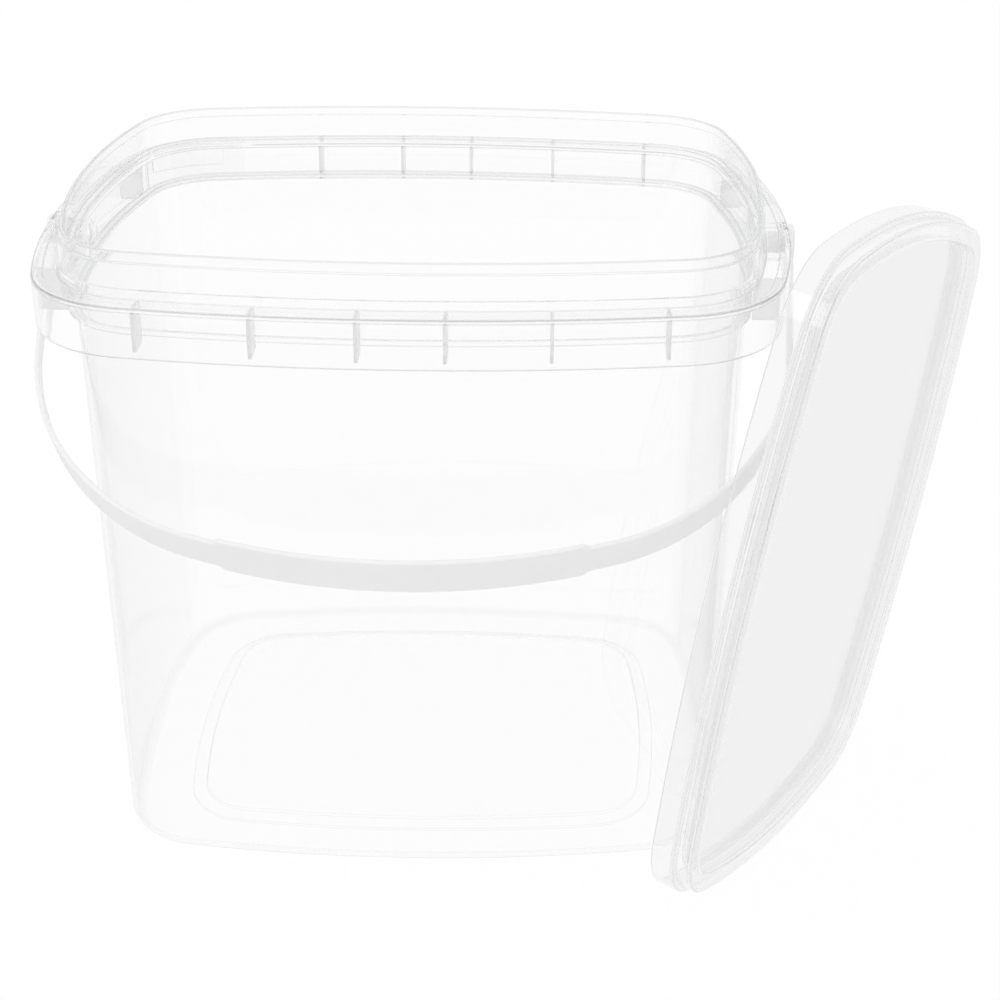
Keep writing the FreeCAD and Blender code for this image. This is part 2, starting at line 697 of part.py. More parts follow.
def add_handle():
    """The bail: a flat band bow on slender arms, with round eyes and a pin on each that turns in the
    bucket."""
    body = add_body("handle")
    add_band(body)
    add_grip(body)
    narrow_arms(body)
    outside = "sizes.rim_half_width + sizes.handle_gap + sizes.band_thickness"
    eye = add_disc(body, "eye", "sizes.eye_radius", outside, "sizes.band_thickness")
    inside = "sizes.rim_half_width + sizes.handle_gap"
    pin = add_disc(body, "pin", "sizes.pin_radius", inside, "sizes.pin_length")
    doc.recompute()
    twin = add_feature(body, "Mirrored", "left_end", Originals=[eye, pin])
    twin.MirrorPlane = (origin_plane(body, "YZ_Plane"), [""])
    body.Tip = twin
    body.Placement.Rotation = FreeCAD.Rotation(FreeCAD.Vector(1, 0, 0), 0)
    body.setExpression("Placement.Base.z", formula(*PIVOT))
    body.setExpression("Placement.Rotation.Angle", "270 - sizes.hang_angle")
    return body


def add_lid():
    """The lid, sized to rest on the ledge inside the neck: skirt, step, raised rim, sunken panel."""
    body = add_body("lid")
    outline = outline_sketch(body, "lid_outline", RIM, ("lid_inset",))
    pad(body, "lid_skirt", outline, "lid_skirt_height")
    rim_inset = ("lid_inset", "lid_step")
    rim = outline_sketch(body, "lid_rim_outline", RIM, rim_inset, ("lid_skirt_height",))
    pad(body, "lid_rim", rim, "lid_height", "-lid_skirt_height")
    panel_inset = rim_inset + ("lid_ring",)
    panel = outline_sketch(body, "lid_panel_outline", RIM, panel_inset, ("lid_height",))
    pocket(body, "lid_panel", panel, "lid_recess")

    hollow = outline_sketch(body, "lid_hollow", RIM, ("lid_inset", "lid_wall"))
    pocket(body, "lid_skirt_inside", hollow, "lid_skirt_height", "-lid_wall", upward=True)
    rim_hollow_inset = rim_inset + ("lid_wall",)
    rim_hollow = outline_sketch(body, "lid_rim_hollow", RIM, rim_hollow_inset)
    depth = ("lid_height", "-lid_recess", "-lid_panel_thickness")
    pocket(body, "lid_rim_inside", rim_hollow, *depth, upward=True)
    groove_wall = panel_inset + ("-lid_wall",)
    groove = outline_sketch(body, "lid_groove", RIM, rim_hollow_inset, (), hole=groove_wall)
    pocket(body, "lid_groove_inside", groove, "lid_height", "-lid_wall", upward=True)
    stand_lid(body)
    return body


def stand_lid(body):
    """Stands the lid on a short side, open side to the bucket, and sets it down on the floor."""
    upright = FreeCAD.Rotation(FreeCAD.Vector(0, 0, 1), 180)
    upright *= FreeCAD.Rotation(FreeCAD.Vector(0, 1, 0), -90)
    turn = FreeCAD.Rotation(FreeCAD.Vector(0, 0, 1), -SIZES["lid_turn"])
    tilt = FreeCAD.Rotation(FreeCAD.Vector(0, 1, 0), SIZES["lid_tilt"])
    roll = FreeCAD.Rotation(FreeCAD.Vector(1, 0, 0), -SIZES["lid_roll"])
    place = FreeCAD.Vector(number("rim_half_width", "lid_stand_x"), -SIZES["lid_stand_y"], 0)
    body.Placement = FreeCAD.Placement(place, turn * tilt * roll * upright)
    doc.recompute()
    body.Placement.Base.z -= body.Shape.BoundBox.ZMin


def check_and_write(parts):
    """Stops at any failed object, then writes one STEP file for each sub-part."""
    doc.recompute()
    for item in doc.Objects:
        if "Invalid" in item.State or "Error" in item.State:
            raise RuntimeError(f"{item.Name} failed: {item.State}")
    os.makedirs("parts", exist_ok=True)
    for item in parts:
        if item.Shape.isNull() or not item.Shape.isValid():
            raise RuntimeError(f"{item.Name} has no valid shape")
        item.Shape.exportStep(f"parts/{item.Label}.step")


add_sheet()
check_and_write([add_bucket(), add_tear_tab(), add_handle(), add_lid()])
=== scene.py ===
"""Looks for the rectangular food bucket: clear shell with its tear tab, milky bail handle, loose lid.

Lengths are written in millimetres and turned to metres in one place, when a mesh is made. Each shape
is a section carried round the bucket's outline, or along the handle's bow, as whole numpy arrays.
"""

import math

import bmesh
import bpy
import numpy as np
from mathutils import Matrix, Vector


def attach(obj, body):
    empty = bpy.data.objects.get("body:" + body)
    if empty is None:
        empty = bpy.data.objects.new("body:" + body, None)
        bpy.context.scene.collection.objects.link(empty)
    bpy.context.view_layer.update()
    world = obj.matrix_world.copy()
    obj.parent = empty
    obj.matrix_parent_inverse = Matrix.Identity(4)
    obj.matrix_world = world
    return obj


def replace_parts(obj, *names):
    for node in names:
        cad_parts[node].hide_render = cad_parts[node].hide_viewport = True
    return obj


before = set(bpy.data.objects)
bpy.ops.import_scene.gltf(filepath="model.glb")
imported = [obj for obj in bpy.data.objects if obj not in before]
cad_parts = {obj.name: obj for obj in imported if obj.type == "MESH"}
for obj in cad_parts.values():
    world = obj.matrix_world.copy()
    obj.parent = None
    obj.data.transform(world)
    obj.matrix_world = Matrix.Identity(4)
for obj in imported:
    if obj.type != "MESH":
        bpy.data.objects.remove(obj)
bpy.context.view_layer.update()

MM = 0.001

# ---------------------------------------------------------------- sizes, in millimetres

# outlines: half width, half depth, side radius, front radius, corner radius
RIM_OUTLINE = (100.0, 76.5, 207.0, 460.0, 31.0)
FOOT_OUTLINE = (86.4, 65.5, 236.0, 441.0, 22.0)
PANEL_OUTLINE = (65.0, 48.0, 240.0, 430.0, 14.0)
SIDE_STEPS, CORNER_STEPS, FRONT_STEPS = 24, 20, 32

WALL = 1.2
FLOOR = 1.4
BUCKET_HEIGHT = 178.6
FLANGE_HEIGHT = 167.2
SKIRT_HEIGHT = 13.2
SKIRT_FOOT = FLANGE_HEIGHT - SKIRT_HEIGHT
SHOULDER = SKIRT_FOOT + 2.8
BODY_INSET = 10.4
COLLAR_INSET = 8.4
LIP_WIDTH, LIP_RISE = 2.8, 0.4
WEB_TOP = FLANGE_HEIGHT - LIP_RISE
WEB_FOOT = FLANGE_HEIGHT - WALL
NECK_INSET, NECK_LEAN, NECK_STEP, NECK_STEP_DROP = 6.5, 0.8, 0.6, 2.9
LEDGE = FLANGE_HEIGHT + 1.5
PANEL_RISE, PANEL_SLOPE = 1.2, 4.0
FOOT_ROUND = 3.5

GUSSET_THICKNESS = 0.9
GUSSET_GAP, GUSSET_ROUND = 0.03, 0.12
GUSSET_FOOT, GUSSET_TOP = SKIRT_FOOT + 1.6, WEB_FOOT - GUSSET_GAP
FRONT_GUSSETS = (10.6, 36.0, 64.1)
SIDE_GUSSET = 44.0

PIVOT_HEIGHT = 160.0
PIN_RADIUS, PIN_LENGTH, PIN_CLEARANCE = 3.0, 7.0, 0.08
SOCKET_DEPTH = PIN_LENGTH + 0.5
BOSS_WALL = 2.2
HANDLE_GAP = 0.9
HANG_ANGLE = math.radians(55.5)
BAND_THICKNESS, BAND_WIDTH, GRIP_WIDTH = 1.4, 12.6, 16.2
BAND_DROP, BAND_CORNER, BAND_BOW = 102.6, 64.3, 193.3
BAND_ROUND = 0.55
GRIP_HALF_LENGTH, GRIP_RAMP = 45.5, 2.0
ARM_LEAN, ARM_WIDTH, ARM_LENGTH, ARM_TAPER = math.radians(3.5), 4.0, 54.3, 14.3
EYE_RADIUS = 5.6

TAB_START, TAB_APEX_SHIFT, TAB_SWEEP = 60.4, 4.8, math.radians(34.4)
TAB_FLANGE, TAB_FLANGE_THICKNESS, TEAR_GAP = 4.4, 1.0, 0.4
TAB_PLATE_MARGIN, TAB_PLATE_DROP, TAB_PLATE_HEIGHT, TAB_PLATE_RISE = 6.6, 1.4, 7.6, 0.6

LID_INSET, LID_WALL, LID_STEP, LID_RING = 8.9, 0.9, 1.6, 5.3
LID_SKIRT_HEIGHT, LID_HEIGHT, LID_RECESS, LID_PANEL_THICKNESS = 6.4, 10.4, 3.8, 1.0
# painted shade: the share of grey painted over the lid's flat panel, for its darker look when seen at a
# slant
LID_PANEL_SHADE = 0.2
LID_STAND = (105.8, -45.0)
LID_TURN, LID_TILT, LID_ROLL = (math.radians(a) for a in (31.34, 4.99, 12.09))

PATH_LENGTH = 1000  # bounces, so that light guided along clear walls comes out again
ARC_STEPS = 8  # points on each rounded corner of a section
SHARP_ANGLE = math.radians(38)  # a larger turn between two faces stays a sharp edge
WELD = 1e-7  # metres


# ---------------------------------------------------------------- outlines and sections


def corner_centre(half_width, half_depth, side_radius, front_radius, corner_radius):
    """Where a corner arc's centre lies: inside both side arcs by the difference of the radii."""
    side, front = side_radius - corner_radius, front_radius - corner_radius
    across, along = side_radius - half_width, front_radius - half_depth
    apart = math.hypot(across, along)
    foot = (side**2 - front**2 + apart**2) / (2 * apart)
    rise = math.sqrt(side**2 - foot**2)
    return -across + (foot * across + rise * along) / apart, (rise * across - foot * along) / apart


def outline(half_width, half_depth, side_radius, front_radius, corner_radius):
    """Points and outward normals of eight tangent arcs: each point is its arc's centre plus the
    radius times the unit vector at its angle."""
    x, y = corner_centre(half_width, half_depth, side_radius, front_radius, corner_radius)
    side_turn = math.atan2(y, x + side_radius - half_width)
    front_turn = math.atan2(y + front_radius - half_depth, x)
    across, along = half_width - side_radius, half_depth - front_radius
    half, full = math.pi, 2 * math.pi
    arcs = (
        (across, 0, side_radius, -side_turn, side_turn, SIDE_STEPS),
        (x, y, corner_radius, side_turn, front_turn, CORNER_STEPS),
        (0, along, front_radius, front_turn, half - front_turn, FRONT_STEPS),
        (-x, y, corner_radius, half - front_turn, half - side_turn, CORNER_STEPS),
        (-across, 0, side_radius, half - side_turn, half + side_turn, SIDE_STEPS),
        (-x, -y, corner_radius, half + side_turn, half + front_turn, CORNER_STEPS),
        (0, -along, front_radius, half + front_turn, full - front_turn, FRONT_STEPS),
        (x, -y, corner_radius, full - front_turn, full - side_turn, CORNER_STEPS),
    )
    points, normals = [], []
    for cx, cy, radius, low, high, steps in arcs:
        turn = np.linspace(low, high, steps, endpoint=False)
        away = np.stack((np.cos(turn), np.sin(turn)), axis=1)
        points.append(np.array((cx, cy)) + radius * away)
        normals.append(away)
    return np.concatenate(points), np.concatenate(normals)


FAMILIES = [outline(*shape) for shape in (RIM_OUTLINE, FOOT_OUTLINE, PANEL_OUTLINE)]
BASIS = np.stack([part for family in FAMILIES for part in family])


def rim(inset, height, rounding=0.0, painted_shade=0.5):
    """A section corner on the rim's outline moved inward. Its last number is painted shade: the share of
    grey painted along the rounded corner, for the dark line that refraction draws along a curved edge of
    clear plastic.
    """
    return (1, -inset, 0, 0, 0, 0, height, rounding, painted_shade)


def foot(inset, height, rounding=0.0, painted_shade=0.5):
    """A section corner on the foot's outline moved inward."""
    return (0, 0, 1, -inset, 0, 0, height, rounding, painted_shade)


def panel(inset, height, rounding=0.0, painted_shade=0.5):
    """A section corner on the floor panel's outline moved inward."""
    return (0, 0, 0, 0, 1, -inset, height, rounding, painted_shade)


def centre(height, painted_shade=0.0):
    """A section's end in the middle of the bucket or of the lid."""
    return (0, 0, 0, 0, 0, 0, height, 0.0, painted_shade)


def reach(corner):
    """How far out a section corner lies on the long axis, and how high."""
    out = sum(w * shape[0] for w, shape in zip(corner[0:6:2], (RIM_OUTLINE, FOOT_OUTLINE, PANEL_OUTLINE)))
    return np.array((out + sum(corner[1:6:2]), corner[6]))


def rounded(corners, closed=False):
    """A section with its corners rounded: near each corner a cubic curve from one leg to the next, whose
    handles are those of the circle of the rounding radius that touches both legs. The last column is the
    corner's painted shade, grey painted for the dark line that refraction draws along a curved edge; on a
    rounded corner it is times half a sine wave along the curve, so that it fades out."""
    rows = []
    count = len(corners)
    for i, corner in enumerate(corners):
        here = np.array(corner[:7], float)
        radius = corner[7]
        inner = closed or 0 < i < count - 1
        if radius <= 0 or not inner:
            rows.append(np.append(here, corner[8])[None])
            continue
        legs = []
        for other in (corners[i - 1], corners[(i + 1) % count]):
            step = np.array(other[:7], float) - here
            flat = reach(other) - reach(corner)
            legs.append((step / np.linalg.norm(flat), flat / np.linalg.norm(flat)))
        (back, back_flat), (ahead, ahead_flat) = legs
        turn = math.pi - math.acos(float(np.clip(back_flat @ ahead_flat, -1, 1)))
        run = radius * math.tan(turn / 2)
        pull = 1 - 4 / 3 * math.tan(turn / 4) / math.tan(turn / 2)
        ends = here + back * run, here + ahead * run
        handles = here + back * run * pull, here + ahead * run * pull
        t = np.linspace(0, 1, ARC_STEPS)[:, None]
        curve = (
            (1 - t) ** 3 * ends[0]
            + 3 * (1 - t) ** 2 * t * handles[0]
            + 3 * (1 - t) * t**2 * handles[1]
            + t**3 * ends[1]
        )
        rows.append(np.hstack((curve, corner[8] * np.sin(math.pi * t))))
    return np.concatenate(rows)


def carried(section):
    """The section carried round the outlines: each point is a weighted sum of the outlines' points
    and normals, at its own height."""
    flat = np.tensordot(section[:, :6], BASIS, axes=1)
    height = np.broadcast_to(section[:, 6, None, None], flat.shape[:2] + (1,))
    return np.concatenate((flat, height), axis=2)


# ---------------------------------------------------------------- meshes


def grid_faces(rows, columns, wrap_rows, wrap_columns):
    """Quads between neighbouring grid points, as an array of point numbers."""
    i = np.arange(rows if wrap_rows else rows - 1)[:, None]
    j = np.arange(columns if wrap_columns else columns - 1)[None]
    i2, j2 = (i + 1) % rows, (j + 1) % columns
    quads = np.stack([i * columns + j, i * columns + j2, i2 * columns + j2, i2 * columns + j], axis=-1)
    return quads.reshape(-1, 4)


def make_object(name, points, faces, painted_shades=None):
    """A mesh object from points in millimetres, with doubles merged and faces turned outward."""
    mesh = bpy.data.meshes.new(name)
    mesh.from_pydata((points * MM).tolist(), [], faces)
    # painted shade: each point's share of the grey painted along rounded edges, read by the clear materials
    shade_layer = mesh.attributes.new("painted_edge_shade", "FLOAT", "POINT")
    shade_layer.data.foreach_set("value", np.zeros(len(points)) if painted_shades is None else painted_shades)
    work = bmesh.new()
    work.from_mesh(mesh)
    bmesh.ops.remove_doubles(work, verts=work.verts, dist=WELD)
    bmesh.ops.recalc_face_normals(work, faces=work.faces)
    work.to_mesh(mesh)
    work.free()
    obj = bpy.data.objects.new(name, mesh)
    bpy.context.scene.collection.objects.link(obj)
    return obj


def grid_object(name, grid, wrap_rows=False, wrap_columns=True, painted_shades=None):
    """A mesh object from a grid of points, with one share of painted shade for each row."""
    rows, columns = grid.shape[:2]
    faces = grid_faces(rows, columns, wrap_rows, wrap_columns)
    spread = None if painted_shades is None else np.repeat(painted_shades, columns)
    return make_object(name, grid.reshape(-1, 3), faces.tolist(), spread)


def swept(name, section, closed=False):
    """A section with rounded corners, carried round the outlines."""
    curve = rounded(section, closed)
    return grid_object(name, carried(curve), wrap_rows=closed, painted_shades=curve[:, 7])


def combine(obj, other, operation):
    """obj joined with, cut by or kept inside the other solid, which is then removed."""
    modifier = obj.modifiers.new("combine", "BOOLEAN")
    modifier.operation = operation
    modifier.object = other
    modifier.solver = "MANIFOLD"
    settle(obj)
    bpy.data.objects.remove(other)


def settle(obj):
    """Writes the object's modifiers into its mesh."""
    bpy.context.view_layer.update()
    graph = bpy.context.evaluated_depsgraph_get()
    mesh = bpy.data.meshes.new_from_object(obj.evaluated_get(graph))
    obj.modifiers.clear()
    obj.data = mesh


def shade(obj):
    """Smooth shading whose normals follow the larger faces, so that flat stretches stay flat. Edges that
    a cut left sharp stay sharp."""
    obj.data.polygons.foreach_set("use_smooth", np.ones(len(obj.data.polygons), bool))
    obj.data.set_sharp_from_angle(angle=SHARP_ANGLE)
    weight = obj.modifiers.new("even_normals", "WEIGHTED_NORMAL")
    weight.weight = 100
    weight.keep_sharp = True
    return obj


def box_points(low, high):
    """The eight corners of a box, and its faces."""
    grid = np.array(np.meshgrid(*zip(low, high), indexing="ij")).reshape(3, -1).T
    faces = [(0, 1, 3, 2), (4, 6, 7, 5), (0, 4, 5, 1), (2, 3, 7, 6), (0, 2, 6, 4), (1, 5, 7, 3)]
    return grid, faces


def boxes(name, corners):
    """One object of many separate boxes, each given by its low and high corner."""
    points, faces = [], []
    for low, high in corners:
        grid, quads = box_points(low, high)
        faces += [tuple(8 * len(points) + k for k in quad) for quad in quads]
        points.append(grid)
    return make_object(name, np.concatenate(points), faces)


def rod(name, radius, low, high, rounding=0.3, steps=48):
    """A round rod along X at the pivot height: a section of radius against distance, turned about X,
    with both rims rounded."""
    bend = np.linspace(0, math.pi / 2, ARC_STEPS)
    short, thin = rounding * (1 - np.sin(bend)), radius - rounding * (1 - np.cos(bend))
    start = np.stack((low + short, thin), 1)[::-1]
    end = np.stack((high - short, thin), 1)
    section = np.concatenate(([(low, 0.0)], start, end, [(high, 0.0)]))
    turn = np.linspace(0, 2 * math.pi, steps, endpoint=False)
    x = np.broadcast_to(section[:, None, 0], (len(section), steps))
    y = section[:, None, 1] * np.cos(turn)
    z = PIVOT_HEIGHT + section[:, None, 1] * np.sin(turn)
    return grid_object(name, np.stack((x, y, z), axis=-1))


# ---------------------------------------------------------------- the bucket


def bucket_section():
    """From the middle of the underside, out over the foot, up the outside, over the rim, and down the
    inside to the middle of the floor."""
    neck_top = NECK_INSET + NECK_LEAN + NECK_STEP
    step = BUCKET_HEIGHT - NECK_STEP_DROP
    return [
        centre(PANEL_RISE),
        panel(0, PANEL_RISE, 0.8),
        panel(-PANEL_SLOPE, 0, 0.8),
        foot(0, 0, FOOT_ROUND, 0.1),
        rim(BODY_INSET, SHOULDER, 0.8),
        rim(COLLAR_INSET, SHOULDER, 0.7),
        rim(COLLAR_INSET, WEB_FOOT, 0.5),
        rim(WALL, WEB_FOOT, 0.5),
        rim(WALL, SKIRT_FOOT, 0.3),
        rim(0, SKIRT_FOOT, 0.4),
        rim(0, FLANGE_HEIGHT, 0.6, 1.0),
        rim(LIP_WIDTH, FLANGE_HEIGHT, 0.15),
        rim(LIP_WIDTH + 0.2, WEB_TOP, 0.15),
        rim(NECK_INSET, WEB_TOP, 0.4),
        rim(NECK_INSET + NECK_LEAN, step, 0.25),
        rim(neck_top, step + 0.2, 0.25),
        rim(neck_top, BUCKET_HEIGHT, 0.55),
        rim(neck_top + WALL, BUCKET_HEIGHT, 0.55),
        rim(NECK_INSET + WALL, LEDGE, 0.4),
        rim(COLLAR_INSET + WALL, LEDGE, 0.5),
        rim(COLLAR_INSET + WALL, SHOULDER + WALL, 0.6),
        rim(BODY_INSET + WALL, SHOULDER + WALL, 0.7),
        foot(WALL, FLOOR, 2.4, 0.1),
        panel(-PANEL_SLOPE, FLOOR, 0.8),
        panel(0, FLOOR + PANEL_RISE, 0.8),
        centre(FLOOR + PANEL_RISE),
    ]


def fall_back(radius, offset):
    """How far an arc falls back at a distance from its middle."""
    return radius - math.sqrt(radius**2 - offset**2)


def gusset_boxes():
    """Low and high corners of the gussets: three pairs at the front, the same at the rear less the one
    where the tear tab is, and two on each short side."""
    half_width, half_depth, side_radius, front_radius, _ = RIM_OUTLINE
    thin = GUSSET_THICKNESS / 2
    inner, outer = COLLAR_INSET - GUSSET_GAP, WALL + GUSSET_GAP
    found = []
    for sign in (-1, 1):
        for offset in FRONT_GUSSETS:
            y = half_depth - fall_back(front_radius, offset)
            for hand in (-1, 1):
                if sign > 0 and hand < 0 and offset == FRONT_GUSSETS[-1]:
                    continue
                ends = sorted((sign * (y - inner), sign * (y - outer)))
                found.append(((hand * offset - thin, ends[0]), (hand * offset + thin, ends[1])))
        x = half_width - fall_back(side_radius, SIDE_GUSSET)
        for hand in (-1, 1):
            ends = sorted((hand * (x - inner), hand * (x - outer)))
            y = sign * SIDE_GUSSET
            found.append(((ends[0], y - thin), (ends[1], y + thin)))
    return [((*low, GUSSET_FOOT), (*high, GUSSET_TOP)) for low, high in found]


def tab_blocks(name, right_margin, left_margin):
    """Two big blocks whose shared space is the tear tab's stretch of the rear left corner."""
    half_width, half_depth, _, _, corner = RIM_OUTLINE
    apex = corner + TAB_APEX_SHIFT
    size = half_depth
    low, high = FLANGE_HEIGHT - size / 2, FLANGE_HEIGHT + size / 2
    right = -TAB_START - right_margin
    first = boxes(name + "_right", [((right - size, 0, low), (right, size * 1.5, high))])
    swing = math.pi / 2 - TAB_SWEEP
    points, faces = box_points((left_margin, 0, low), (left_margin + size, size, high))
    turn = np.array(((math.cos(swing), -math.sin(swing)), (math.sin(swing), math.cos(swing))))
    points[:, :2] = points[:, :2] @ turn.T + np.array((apex - half_width, half_depth - apex))
    second = make_object(name + "_left", points, faces)
    combine(first, second, "INTERSECT")
    return first


def ring(name, section):
    """A closed section carried round the rim."""
    return swept(name, section, closed=True)


def notch():
    """The gap in the rim that the tear tab fills, wider all round by the tear gap."""
    hole, low, high = TAB_FLANGE + TEAR_GAP, SKIRT_FOOT - WALL, FLANGE_HEIGHT + WALL
    corners = ((-WALL, low), (-WALL, high), (hole, high), (hole, low))
    band = ring("notch", [rim(*corner, painted_shade=0) for corner in corners])
    combine(band, tab_blocks("notch_block", -TEAR_GAP, -TEAR_GAP), "INTERSECT")
    return band


def make_bucket():
    """The shell with its pivot bosses, the pins' holes and the tear tab's gap."""
    bucket = swept("bucket_shell", bucket_section())
    half_width = RIM_OUTLINE[0]
    inner = half_width - COLLAR_INSET - WALL / 2
    hole = PIN_RADIUS + PIN_CLEARANCE
    bottom = half_width + HANDLE_GAP - SOCKET_DEPTH
    for sign in (-1, 1):
        ends = sorted((sign * inner, sign * (half_width - WALL / 2)))
        combine(bucket, rod("boss", hole + BOSS_WALL, *ends), "UNION")
        ends = sorted((sign * bottom, sign * (half_width + WALL)))
        combine(bucket, rod("hole", hole, *ends, rounding=0.05), "DIFFERENCE")
    combine(bucket, notch(), "DIFFERENCE")
    return shade(bucket)


def make_gussets():
    """Thin upright plates under the flange, each a box with rounded edges that stops a hair short of the
    walls it stiffens."""
    gussets = boxes("gussets", gusset_boxes())
    bevel = gussets.modifiers.new("edges", "BEVEL")
    bevel.width = GUSSET_ROUND * MM
    bevel.segments = 2
    settle(gussets)
    return shade(gussets)


def make_tear_tab():
    """The tab's skirt and flange in one angle section, and its raised finger plate."""
    top, low = FLANGE_HEIGHT, FLANGE_HEIGHT - TAB_FLANGE_THICKNESS
    tab = ring(
        "tear_tab_skirt",
        [
            rim(0, SKIRT_FOOT, 0.4),
            rim(0, top, 0.5),
            rim(TAB_FLANGE, top, 0.3),
            rim(TAB_FLANGE, low, 0.3),
            rim(WALL, low, 0.4),
            rim(WALL, SKIRT_FOOT, 0.3),
        ],
    )
    combine(tab, tab_blocks("tab_block", 0, 0), "INTERSECT")
    high = top - TAB_PLATE_DROP
    plate = ring(
        "tab_plate",
        [
            rim(-TAB_PLATE_RISE, high - TAB_PLATE_HEIGHT, 0.4),
            rim(-TAB_PLATE_RISE, high, 0.4),
            rim(WALL / 2, high, painted_shade=0),
            rim(WALL / 2, high - TAB_PLATE_HEIGHT, painted_shade=0),
        ],
    )
    combine(plate, tab_blocks("plate_block", TAB_PLATE_MARGIN, TAB_PLATE_MARGIN / 2), "INTERSECT")
    combine(tab, plate, "UNION")
    return shade(tab)


# ---------------------------------------------------------------- the handle


def bow_path(steps=96):
    """The handle's outer edge in its own plane, from the right eye to the left one: upright over the
    pivots, then arms that lean in, corner arcs and a bow, as points and outward normals. The corner
    arc's centre lies on the arm's parallel, a corner radius inside, and as far from the bow's centre as
    the two radii differ."""
    span = RIM_OUTLINE[0] + HANDLE_GAP + BAND_THICKNESS
    rise = BAND_DROP - BAND_BOW
    tilt = np.array((math.cos(ARM_LEAN), math.sin(ARM_LEAN)))
    ahead = np.array((-tilt[1], tilt[0]))
    start = np.array((span, -rise)) - BAND_CORNER * tilt
    run = math.sqrt((BAND_BOW - BAND_CORNER) ** 2 - start @ start + (start @ ahead) ** 2) - start @ ahead
    side, drop = start + run * ahead + np.array((0, rise))
    lean = math.atan2(drop - rise, side)
    eye = -EYE_RADIUS * np.cos(np.linspace(0, math.pi / 2, 14))[:-1]
    arm = np.concatenate((EYE_RADIUS * np.linspace(0, 1, 10), np.linspace(EYE_RADIUS, run, 8)[1:-1]))
    corner = np.linspace(ARM_LEAN, lean, 40)
    bow = np.linspace(lean, math.pi / 2, steps)[1:]
    points = np.concatenate(
        (
            np.stack((np.full_like(eye, span), eye), 1),
            np.array((span, 0)) + arm[:, None] * ahead,
            np.stack((side + BAND_CORNER * np.cos(corner), drop + BAND_CORNER * np.sin(corner)), 1),
            np.stack((BAND_BOW * np.cos(bow), rise + BAND_BOW * np.sin(bow)), 1),
        )
    )
    away = np.concatenate((np.zeros_like(eye), np.full_like(arm, ARM_LEAN), corner, bow))
    normals = np.stack((np.cos(away), np.sin(away)), 1)
    mirror = np.array((-1, 1))
    points = np.concatenate((points, points[-2::-1] * mirror))
    normals = np.concatenate((normals, normals[-2::-1] * mirror))
    return points, normals


def smooth_step(share):
    """0 below 0, 1 above 1, and three squares less two cubes between."""
    share = np.clip(share, 0, 1)
    return share * share * (3 - 2 * share)


def half_width_along(points):
    """Half the band's width: round at the eyes, slender on the arms, then the band's own width, and
    wider in the grip with a short ramp."""
    arm, band, grip = ARM_WIDTH / 2, BAND_WIDTH / 2, GRIP_WIDTH / 2
    below = points[:, 1]
    eye = np.sqrt(np.maximum(EYE_RADIUS**2 - below**2, 0))
    slender = np.where(below > 0, arm, 0.0)
    widened = (band - arm) * smooth_step((below - ARM_LENGTH) / ARM_TAPER)
    ramp = smooth_step((GRIP_HALF_LENGTH + GRIP_RAMP / 2 - np.abs(points[:, 0])) / GRIP_RAMP)
    return np.maximum(eye, slender + widened) + (grip - band) * ramp


def make_handle():
    """The band: at each point of the path a rounded rectangle across it, as corner centres plus a
    quarter circle each, all in the plane of the bow's normal and the band's width."""
    points, normals = bow_path()
    half = half_width_along(points)
    thick = BAND_THICKNESS / 2
    rounding = np.minimum(BAND_ROUND, half)
    turn = np.linspace(0, math.pi / 2, ARC_STEPS)
    quarter = np.concatenate([turn + k * math.pi / 2 for k in range(4)])
    signs = np.repeat(np.array(((1, 1), (-1, 1), (-1, -1), (1, -1))), ARC_STEPS, axis=0)
    across = signs[:, 0] * (thick - rounding[:, None]) + rounding[:, None] * np.cos(quarter)
    along = signs[:, 1] * (half[:, None] - rounding[:, None]) + rounding[:, None] * np.sin(quarter)
    middle = points - thick * normals
    x = middle[:, None, 0] + across * normals[:, None, 0]
    down = middle[:, None, 1] + across * normals[:, None, 1]
    handle = grid_object("handle_band", np.stack(hang(x, down, along), axis=-1))
    inside = RIM_OUTLINE[0] + HANDLE_GAP
    for sign in (-1, 1):
        ends = sorted((sign * (inside + thick), sign * (inside - PIN_LENGTH)))
        combine(handle, rod("pin", PIN_RADIUS, *ends), "UNION")
    return shade(handle)


def hang(x, down, along):
    """From the bow's own plane to the bucket: turned about the pivots by the hang angle."""
    sine, cosine = math.sin(HANG_ANGLE), math.cos(HANG_ANGLE)
    return x, -down * sine + along * cosine, PIVOT_HEIGHT - down * cosine - along * sine


# ---------------------------------------------------------------- the lid


def make_lid():
    """A closed shell of one thickness: skirt, step in, raised rim, ring and sunken panel."""
    rim_inset = LID_INSET + LID_STEP
    panel_inset = rim_inset + LID_RING
    deep = LID_HEIGHT - LID_RECESS
    section = [
        # the panel's rows carry the lid panel's painted shade
        centre(deep, LID_PANEL_SHADE),
        rim(panel_inset + 1, deep, 0, LID_PANEL_SHADE),
        rim(panel_inset, deep, 0.5),
        rim(panel_inset, LID_HEIGHT, 0.5),
        rim(rim_inset, LID_HEIGHT, 0.6),
        rim(rim_inset, LID_SKIRT_HEIGHT, 0.4),
        rim(LID_INSET, LID_SKIRT_HEIGHT, 0.5),
        rim(LID_INSET, 0, 0.3),
        rim(LID_INSET + LID_WALL, 0, 0.3),
        rim(LID_INSET + LID_WALL, LID_SKIRT_HEIGHT - LID_WALL, 0.4),
        rim(rim_inset + LID_WALL, LID_SKIRT_HEIGHT - LID_WALL, 0.4),
        rim(rim_inset + LID_WALL, LID_HEIGHT - LID_WALL, 0.4),
        rim(panel_inset - LID_WALL, LID_HEIGHT - LID_WALL, 0.4),
        rim(panel_inset - LID_WALL, deep - LID_PANEL_THICKNESS, 0.4),
        rim(panel_inset + 1, deep - LID_PANEL_THICKNESS, 0, LID_PANEL_SHADE),
        centre(deep - LID_PANEL_THICKNESS, LID_PANEL_SHADE),
    ]
    lid = swept("lid_shell", section)
    stand_lid(lid)
    return shade(lid)


